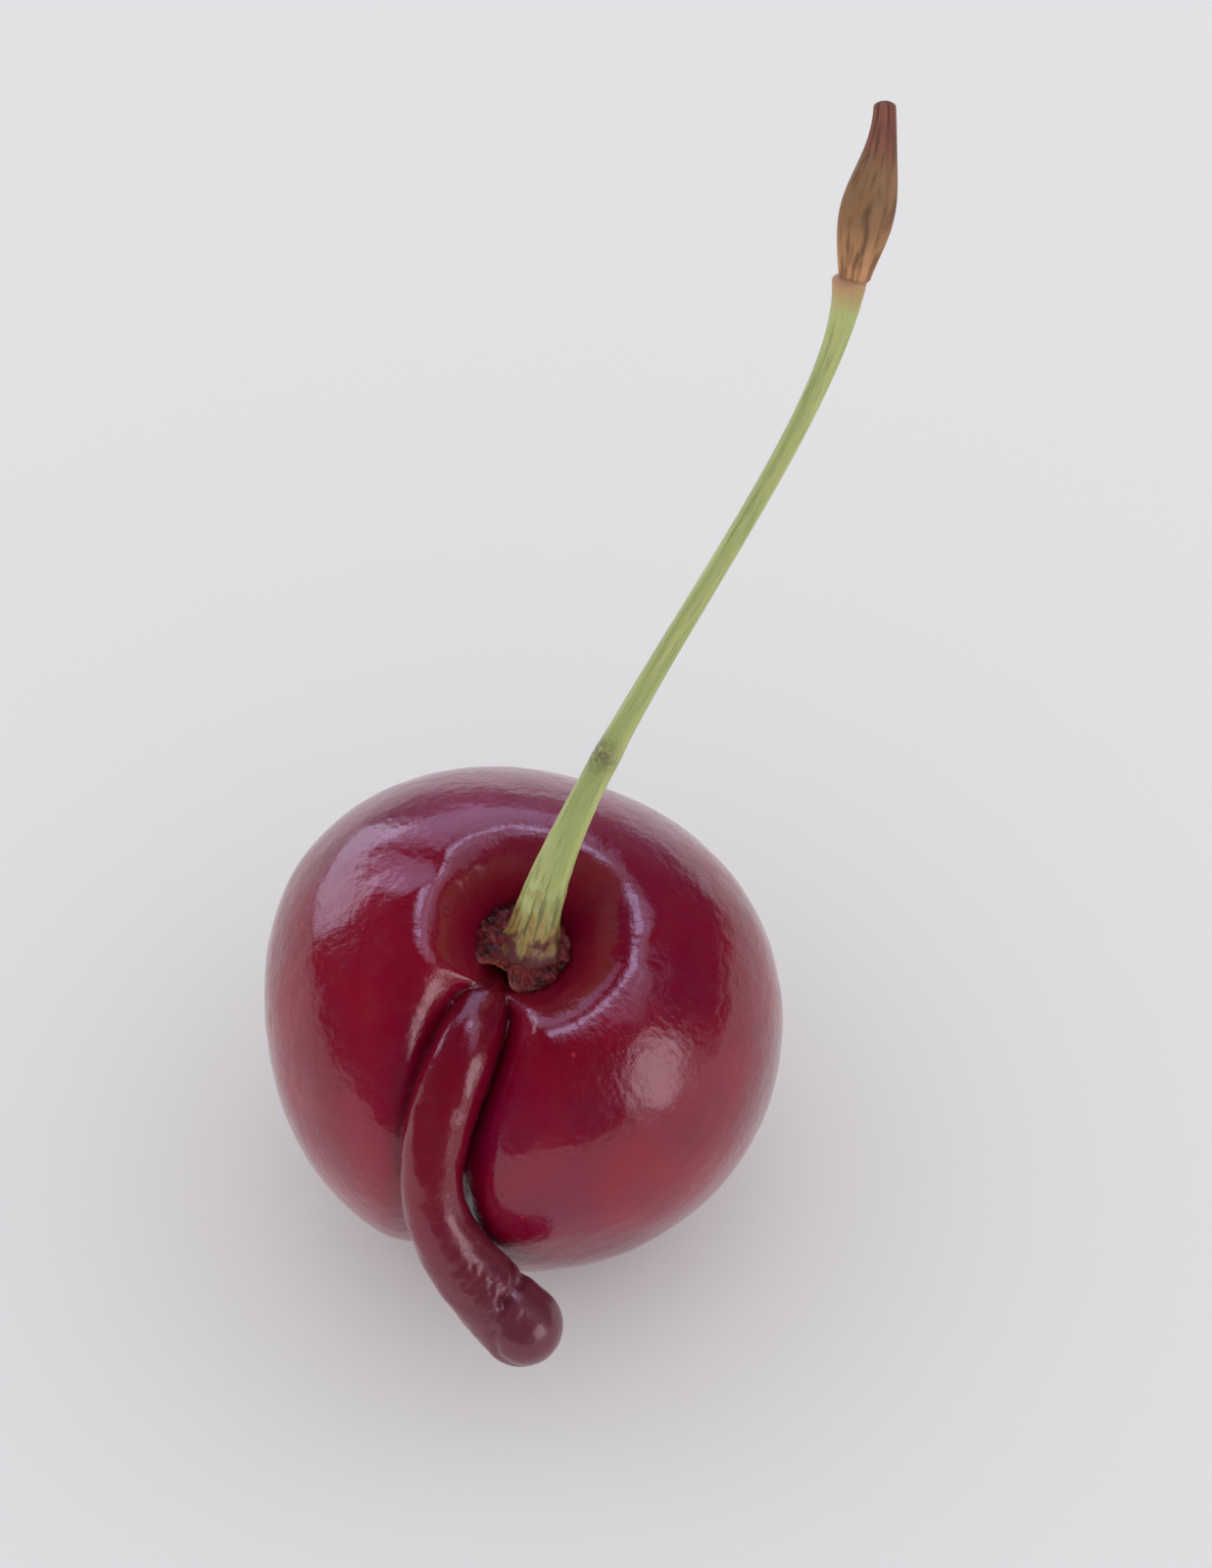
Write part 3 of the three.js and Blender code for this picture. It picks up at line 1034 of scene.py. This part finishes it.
    def build(self) -> bpy.types.Object:
        """Makes the whole fruit, flat at its resting spot, with its pattern attributes and finish.

        Returns:
            The finished piece.
        """
        fruit = self.joined()
        points = vertices(fruit)
        gap, along = self.outgrowth.distance(points)
        local = self.to_local(points)
        reach = np.linalg.norm(local, axis=1)
        polar = np.arccos(np.clip(local[:, 2] / reach, -1.0, 1.0))
        azimuth = np.arctan2(local[:, 0], -local[:, 1])
        distance, sunk = self.skin(polar, azimuth)
        on_finger = 1.0 - smoothstep(gap - np.abs(reach - distance), -0.15, 0.15)
        points, seam = self.soften_seam(fruit, points, gap, reach - distance)
        points[:, 2] = np.maximum(points[:, 2], 0.0)
        fruit.data.vertices.foreach_set("co", (points * MM).astype(np.float32).ravel())
        fruit.data.update()
        length = self.outgrowth.length
        set_attribute(fruit, "outgrowth", on_finger)
        set_attribute(fruit, "dull_end", on_finger * smoothstep(along, 0.45 * length, 0.95 * length))
        # painted shade: the hollow attribute darkens the skin deep in the cavity and furrows and along the
        # outgrowth's seam
        hollow = np.maximum(seam, smoothstep(sunk, 1.6, 4.4) * (1.0 - on_finger) * 0.6)
        set_attribute(fruit, "hollow", hollow * 0.6)
        # painted sheen: lavender on the high back of the shoulder, away from the front
        shoulder = smoothstep(points[:, 2], 14.5, 20.5) * smoothstep(points[:, 1], 0.0, 6.0)
        set_attribute(fruit, "painted_back_sheen", self.painted_sheen_share * shoulder * (1.0 - on_finger))
        flat = np.hypot(local[:, 0], local[:, 1])[:, None] + 1e-6
        ray = local[:, :2] / flat * self.strand_density
        set_attribute(fruit, "strand", np.concatenate([ray, flat * self.strand_cut], axis=1))
        finish_piece(fruit, "fruit", CherrySkin())
        return fruit

    def soften_seam(
        self, fruit: bpy.types.Object, points: Array, gap: Array, off: Array
    ) -> tuple[Array, Array]:
        """Rounds the sharp inner corner where outgrowth and body meet.

        Vertices near both surfaces move towards the mean of their neighbours, several times over.

        Args:
            fruit: The joined mesh.
            points: Its vertices, mm.
            gap: Distance of each from the outgrowth's tube.
            off: Distance of each from the body's skin.

        Returns:
            The moved vertices, and how near each is to the seam, 0 to 1.
        """
        near = bell(np.hypot(gap, off), self.seam_width)
        edges = np.empty(len(fruit.data.edges) * 2, np.int32)
        fruit.data.edges.foreach_get("vertices", edges)
        a, b = edges.reshape(-1, 2).T
        count = np.bincount(a, minlength=len(points)) + np.bincount(b, minlength=len(points))
        moved = points.copy()
        for _ in range(self.seam_rounds):
            total = np.stack(
                [
                    np.bincount(a, moved[b, k], len(points)) + np.bincount(b, moved[a, k], len(points))
                    for k in range(3)
                ],
                axis=-1,
            )
            moved += (total / count[:, None] - moved) * (0.5 * near)[:, None]
        return moved, near


# ------------------------------------------------------------------------------------ cup, stem, scale


def node_box(node: str) -> tuple[Array, Array]:
    """Lowest and highest corner of a CAD node in mm."""
    low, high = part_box(node)
    return np.array(low) / MM, np.array(high) / MM


@dataclass
class FlowerCup:
    """The ragged dried disc round the foot of the stem, with an arch lifted in its front edge."""

    fruit: Fruit
    radius: float = 2.28
    rim_height: float = -0.35  # of the edge, from the middle of its CAD box
    rise: float = 1.15  # of the middle over the edge
    depth: float = 0.95  # of the underside below the edge
    arch_at: float = -40.0  # degrees from the front towards +X
    arch_half_width: float = 23.0
    arch_cut: float = 0.36  # how far the arch cuts into the radius
    arch_lift: float = 0.35
    steps: tuple[int, int] = (320, 130)

    def profile(self, share: Array, turn: Array) -> tuple[Array, Array]:
        """Distance from the axis and height of the disc's skin, in mm.

        The share runs from the middle of the top (0) over the rim (0.5) to the middle of the
        underside (1). The top slopes up to the stem, the underside bellies down to the cavity's
        floor, and radial wrinkles deepen towards the rim.

        Args:
            share: Share of the way, shape (rings, 1).
            turn: Angle from the front towards +X, shape (1, around).

        Returns:
            Distance and height, each of shape (rings, around).
        """
        aside = np.degrees(np.arctan2(np.sin(turn), np.cos(turn))) - self.arch_at
        arch = np.exp(-((aside / self.arch_half_width) ** 4))
        lips = bell(np.abs(aside) - self.arch_half_width * 1.25, 8.0)
        ragged = (
            0.02 * np.sin(5.0 * turn + 0.4)
            + 0.018 * np.sin(9.0 * turn + 1.9)
            + 0.012 * np.sin(19.0 * turn)
        )
        spread = np.sin(math.pi * share) ** 0.55
        wide = self.radius * spread * (1.0 + ragged - self.arch_cut * arch)
        top = share < 0.5
        slope = np.where(top, self.rise * (1.0 - spread) ** 0.8, -self.depth * (1.0 - spread) ** 0.5)
        wrinkle = (
            np.sin(23.0 * turn + 2.5 * np.sin(3.0 * turn))
            + 0.7 * np.sin(37.0 * turn + 3.0 * np.sin(2.0 * turn + 4.0 * spread))
            + 0.5 * np.sin(11.0 * turn + 5.0 * spread)
        )
        high = self.rim_height + slope + 0.055 * wrinkle * spread**2
        high = high + spread**3 * (self.arch_lift * arch + 0.18 * lips)
        high = high + 0.1 * np.cos(math.pi * share) * spread
        return wide, high

    def build(self) -> bpy.types.Object:
        """Makes the disc from its profile, roughened by small smooth lumps.

        Returns:
            The finished piece.
        """
        around, rings = self.steps
        share = np.linspace(0.0, 1.0, rings + 2)[1:-1][:, None]
        turn = (np.arange(around) * (TURN / around))[None, :]
        wide, high = self.profile(share, turn)
        local = np.stack([wide * np.sin(turn), -wide * np.cos(turn), high], axis=-1)
        lumps = 0.05 * ripple(local, 0.8, 21) + 0.025 * ripple(local, 0.35, 22)
        local[..., 2] += lumps
        local[..., :2] *= (1.0 + 0.3 * lumps)[..., None]
        low, top = node_box("flower_cup")
        ends = np.array([[0.0, 0.0, self.rim_height + self.rise], [0.0, 0.0, self.rim_height - self.depth]])
        points = np.concatenate([local.reshape(-1, 3), ends]) @ self.fruit.lean.T + (low + top) / 2.0
        cup = mesh_object(Piece.CUP.value, points, ring_faces(rings, around))
        spokes = np.stack(np.broadcast_arrays(np.sin(turn), np.cos(turn), 0.12 * wide), axis=-1)
        set_attribute(cup, "grain", np.concatenate([spokes.reshape(-1, 3), np.zeros((2, 3))]))
        aside = np.degrees(np.arctan2(np.sin(turn), np.cos(turn))) - self.arch_at
        lining = bell(aside, self.arch_half_width) * bell(share - 0.5, 0.07)
        set_attribute(cup, "lining", np.append(lining.ravel(), [0.0, 0.0]))
        # painted highlight: the fold attribute marks the lifted lips beside the arch, which the finish
        # paints paler
        lips = bell(np.abs(aside) - self.arch_half_width * 1.25, 11.0) * bell(share - 0.42, 0.12)
        set_attribute(cup, "fold", np.append(lips.ravel(), [0.0, 0.0]))
        finish_piece(cup, "flower_cup", DriedCup())
        return cup


@dataclass
class Stem:
    """The stem from the flower cup to its picked end."""

    foot: tuple[float, float, float] = (0.45, -2.2, 18.7)
    handles: tuple[tuple[float, float, float], ...] = ((2.0, 1.0, 29.0), (14.5, 12.0, 38.0))
    end_inset: tuple[float, float, float] = (0.8, 0.75, 0.4)  # from the high corner of its box
    foot_radius: float = 1.25
    waist_radius: float = 0.45
    end_radius: float = 0.8
    foot_power: float = 4.5
    flare: float = 0.35  # extra radius where the stem spreads on to the cup
    end_power: float = 14.0
    bruise_at: float = 10.5  # mm along the stem
    stretch: float = 9.0  # how much longer than wide the lengthwise lines are

    def limb(self) -> Limb:
        """The plain stem: narrow, flaring quickly at its foot and close to its end.

        Returns:
            The limb, from the cup to the picked end.
        """
        _, high = node_box("stem")
        line = sweep(self.foot, self.handles, high - self.end_inset)
        share = run_length(line) / run_length(line)[-1]
        radius = (
            self.waist_radius
            + (self.foot_radius - self.waist_radius) * (1.0 - share) ** self.foot_power
            + (self.end_radius - self.waist_radius) * share**self.end_power
            + self.flare * bell(run_length(line), 0.8)
        )
        return Limb(line, radius, around=72, along=420, cap_rings=6, end_length=(0.3, 0.35))

    def build(self) -> bpy.types.Object:
        """Makes the stem: a tube with low ridges that fade upwards and a swelling at its foot.

        Returns:
            The finished piece.
        """
        limb = self.limb()
        along, turn = limb.grid()
        foot = 1.0 - smoothstep(along, 0.5, 7.0)
        ridge = np.sin(7.0 * turn + 0.5) * (0.01 + 0.04 * foot)
        ridge = ridge + np.sin(13.0 * turn + 2.0) * (0.005 + 0.02 * foot)
        swelling = 0.16 * bell(np.hypot(along - 1.6, (turn - 0.5) * 1.2), 0.8)
        node = 0.04 * bell(along - self.bruise_at, 0.9)
        points, arc, angle = limb.surface(ridge + swelling + node)
        points = points + 0.02 * ripple(points, 1.1, 31)[:, None] * (arc < 6.0)[:, None]
        stem = mesh_object(Piece.STEM.value, points, limb.faces())
        set_attribute(stem, "along", arc)
        grain = np.stack([np.cos(angle), np.sin(angle), arc / self.stretch], axis=-1)
        set_attribute(stem, "grain", grain)
        set_attribute(stem, "bruise", bell(arc - self.bruise_at, 0.8) * (0.5 + 0.5 * np.cos(angle + 0.8)))
        finish_piece(stem, "stem", GreenStem())
        return stem


@dataclass
class BudScale:
    """The dried scale on the stem's picked end."""

    foot: tuple[float, float, float] = (15.2, 15.1, 45.6)
    handles: tuple[tuple[float, float, float], ...] = ((15.5, 16.5, 48.0), (16.5, 18.0, 50.0))
    tip: tuple[float, float, float] = (16.5, 19.5, 52.0)
    tip_radius: float = 0.4
    belly_radius: float = 1.25
    belly_at: float = 0.38
    belly_spread: float = 0.38
    stretch: float = 6.0

    def limb(self) -> Limb:
        """The plain scale: a flattened spindle, widest at its belly.

        Returns:
            The limb, from the stem's end to the tip.
        """
        line = sweep(self.foot, self.handles, self.tip)
        share = run_length(line) / run_length(line)[-1]
        swell = bell(share - self.belly_at, self.belly_spread)
        radius = self.tip_radius + (self.belly_radius - self.tip_radius) * swell
        return Limb(line, radius, around=72, along=110, cap_rings=8, end_length=(0.35, 0.6), flatness=0.75)

    def build(self) -> bpy.types.Object:
        """Makes the scale: a flattened spindle with lengthwise folds and a lapped edge.

        Returns:
            The finished piece.
        """
        limb = self.limb()
        along, turn = limb.grid()
        fold = 0.05 * np.sin(5.0 * turn + 0.3 * along) + 0.03 * np.sin(11.0 * turn + 1.0)
        lap = -0.16 * bell(turn - 0.9 + 0.06 * along, 0.12) * smoothstep(along, 0.4, 1.6)
        points, arc, angle = limb.surface(fold + lap)
        scale = mesh_object(Piece.SCALE.value, points, limb.faces())
        set_attribute(scale, "along", arc)
        set_attribute(scale, "grain", np.stack([np.cos(angle), np.sin(angle), arc / self.stretch], axis=-1))
        finish_piece(scale, "bud_scale", DriedScale())
        return scale


# ------------------------------------------------------------------------------------ studio


@dataclass(frozen=True)
class Softbox:
    """A soft light with a flat face that looks at the cherry.

    It shows in reflections, and leaves the shading to the room's own light.
    """

    name: str
    azimuth: float  # degrees from +X towards +Y
    elevation: float
    size: tuple[float, float]  # mm
    radiance: float  # brightness of its face, where 1 shows as white
    tint: str
    distance: float = 900.0  # mm
    round: bool = False  # an oval face in place of a rectangle

    def place(self, target: Vector) -> None:
        """Adds the light, aimed at the target.

        Args:
            target: Where it looks, metres.
        """
        a, e = math.radians(self.azimuth), math.radians(self.elevation)
        away = Vector((math.cos(e) * math.cos(a), math.cos(e) * math.sin(a), math.sin(e)))
        light = bpy.data.lights.new(self.name, "AREA")
        light.shape = "ELLIPSE" if self.round else "RECTANGLE"
        light.size, light.size_y = (side * MM for side in self.size)
        light.energy = self.radiance * math.pi * light.size * light.size_y
        light.color = colour(self.tint)[:3]
        lamp = bpy.data.objects.new(self.name, light)
        bpy.context.scene.collection.objects.link(lamp)
        lamp.visible_diffuse = False
        lamp.location = target + away * (self.distance * MM)
        lamp.rotation_euler = away.to_track_quat("Z", "Y").to_euler()


@dataclass
class Studio:
    """Camera, table and lights."""

    elevation: float = 50.0  # the camera looks down this steeply
    distance: float = 300.0  # mm from the fruit's middle, along the view
    view_height: float = 75.0  # mm seen at that distance, over the picture's height
    shift: tuple[float, float] = (4.0, 11.0)  # mm from the fruit's middle to the picture's
    table_size: float = 2400.0
    zenith_fill: float = 0.5
    horizon_fill: float = 2.6  # how much brighter the room is at the table's height
    reflected_room: float = 0.02  # how bright the bare room is in reflections
    seen_room: float = 0.95  # how bright it is where the camera sees past the table
    lights: tuple[Softbox, ...] = (
        Softbox("overhead", 60.0, 70.0, (680.0, 600.0), 1.5, "#DCD4FF"),
        Softbox("overhead_core", 84.0, 73.0, (300.0, 200.0), 6.0, "#CFC8FF"),
        Softbox("right_overhead", 0.0, 58.0, (520.0, 420.0), 1.3, "#E6D8FF"),
        Softbox("back_left_window", 137.0, 15.0, (600.0, 400.0), 3.3, "#E2DEFF"),
        Softbox("back_window", 102.0, 36.0, (860.0, 560.0), 2.0, "#D2C6FF"),
        Softbox("right_front_glow", -32.0, 12.0, (640.0, 800.0), 1.1, "#FFE6EE", round=True),
        Softbox("right_front_window", -32.0, 16.0, (340.0, 560.0), 1.9, "#FFECF2", round=True),
    )

    def camera(self, middle: Vector) -> None:
        """Adds the camera, looking along +Y and down at the fruit's middle.

        Args:
            middle: The fruit's middle, metres.
        """
        e = math.radians(self.elevation)
        right = Vector((1.0, 0.0, 0.0))
        up = Vector((0.0, math.sin(e), math.cos(e)))
        back = Vector((0.0, -math.cos(e), math.sin(e)))
        data = bpy.data.cameras.new("camera")
        data.sensor_width = 36.0
        data.lens = data.sensor_width * self.distance / self.view_height
        data.clip_start = 0.01
        camera = bpy.data.objects.new("camera", data)
        bpy.context.scene.collection.objects.link(camera)
        aside, above = self.shift
        camera.matrix_world = Matrix.Translation(
            middle + (right * aside + up * above + back * self.distance) * MM
        ) @ Matrix((right, up, back)).transposed().to_4x4()
        bpy.context.scene.camera = camera

    def table(self) -> None:
        """Adds the pale table as one large flat face at the resting height."""
        half = self.table_size / 2.0
        corners = np.array([[-half, -half, 0.0], [half, -half, 0.0], [half, half, 0.0], [-half, half, 0.0]])
        table = mesh_object("table", corners, [np.array([[0, 1, 2, 3]])])
        table.data.materials.append(TableTop().material())

    def world(self) -> None:
        """Fills the room with light that is strongest at the table's height.

        The room is nearly dark in reflections, and pale where the camera sees past the table.
        """
        world = bpy.data.worlds.new("room")
        bpy.context.scene.world = world
        world.use_nodes = True
        world.node_tree.nodes.clear()
        add = partial(add_node, world.node_tree)
        height = add("SeparateXYZ", (add("TexCoord").outputs["Generated"],)).outputs["Z"]
        level = add("Math", (1.0, add("Math", (height,), operation="ABSOLUTE")), operation="SUBTRACT")
        low = add("Math", (level, 2.0), operation="POWER")
        strength = add("Math", (low, self.horizon_fill, self.zenith_fill), operation="MULTIPLY_ADD")
        fill = add("Background", {"Color": colour("#FBFBFC"), "Strength": strength})
        dark = add("Background", {"Color": colour("#B9BCC8"), "Strength": self.reflected_room})
        seen = add("Background", {"Color": colour("#DFE1E6"), "Strength": self.seen_room})
        path = add("LightPath")
        lit = add("MixShader", (path.outputs["Is Glossy Ray"], fill, dark))
        mixed = add("MixShader", (path.outputs["Is Camera Ray"], lit, seen))
        add("OutputWorld", {"Surface": mixed})

    def build(self, middle: Vector) -> None:
        """Sets the whole studio round the fruit's middle.

        Args:
            middle: The fruit's middle, metres.
        """
        self.camera(middle)
        self.table()
        self.world()
        for light in self.lights:
            light.place(middle)
        bpy.context.scene.view_settings.view_transform = "Standard"


def main() -> None:
    """Builds the cherry and its studio and reports each piece."""
    logging.basicConfig(level=logging.INFO, format="%(name)s %(message)s")
    fruit = Fruit()
    Studio().build(Vector(fruit.middle * MM))
    pieces = [fruit.build(), FlowerCup(fruit).build(), Stem().build(), BudScale().build()]
    for piece in pieces:
        places = vertices(piece)
        low, high = places.min(axis=0), places.max(axis=0)
        LOG.info("%s spans %s to %s mm", piece.name, low.round(2), high.round(2))


if __name__ == "__main__":
    main()
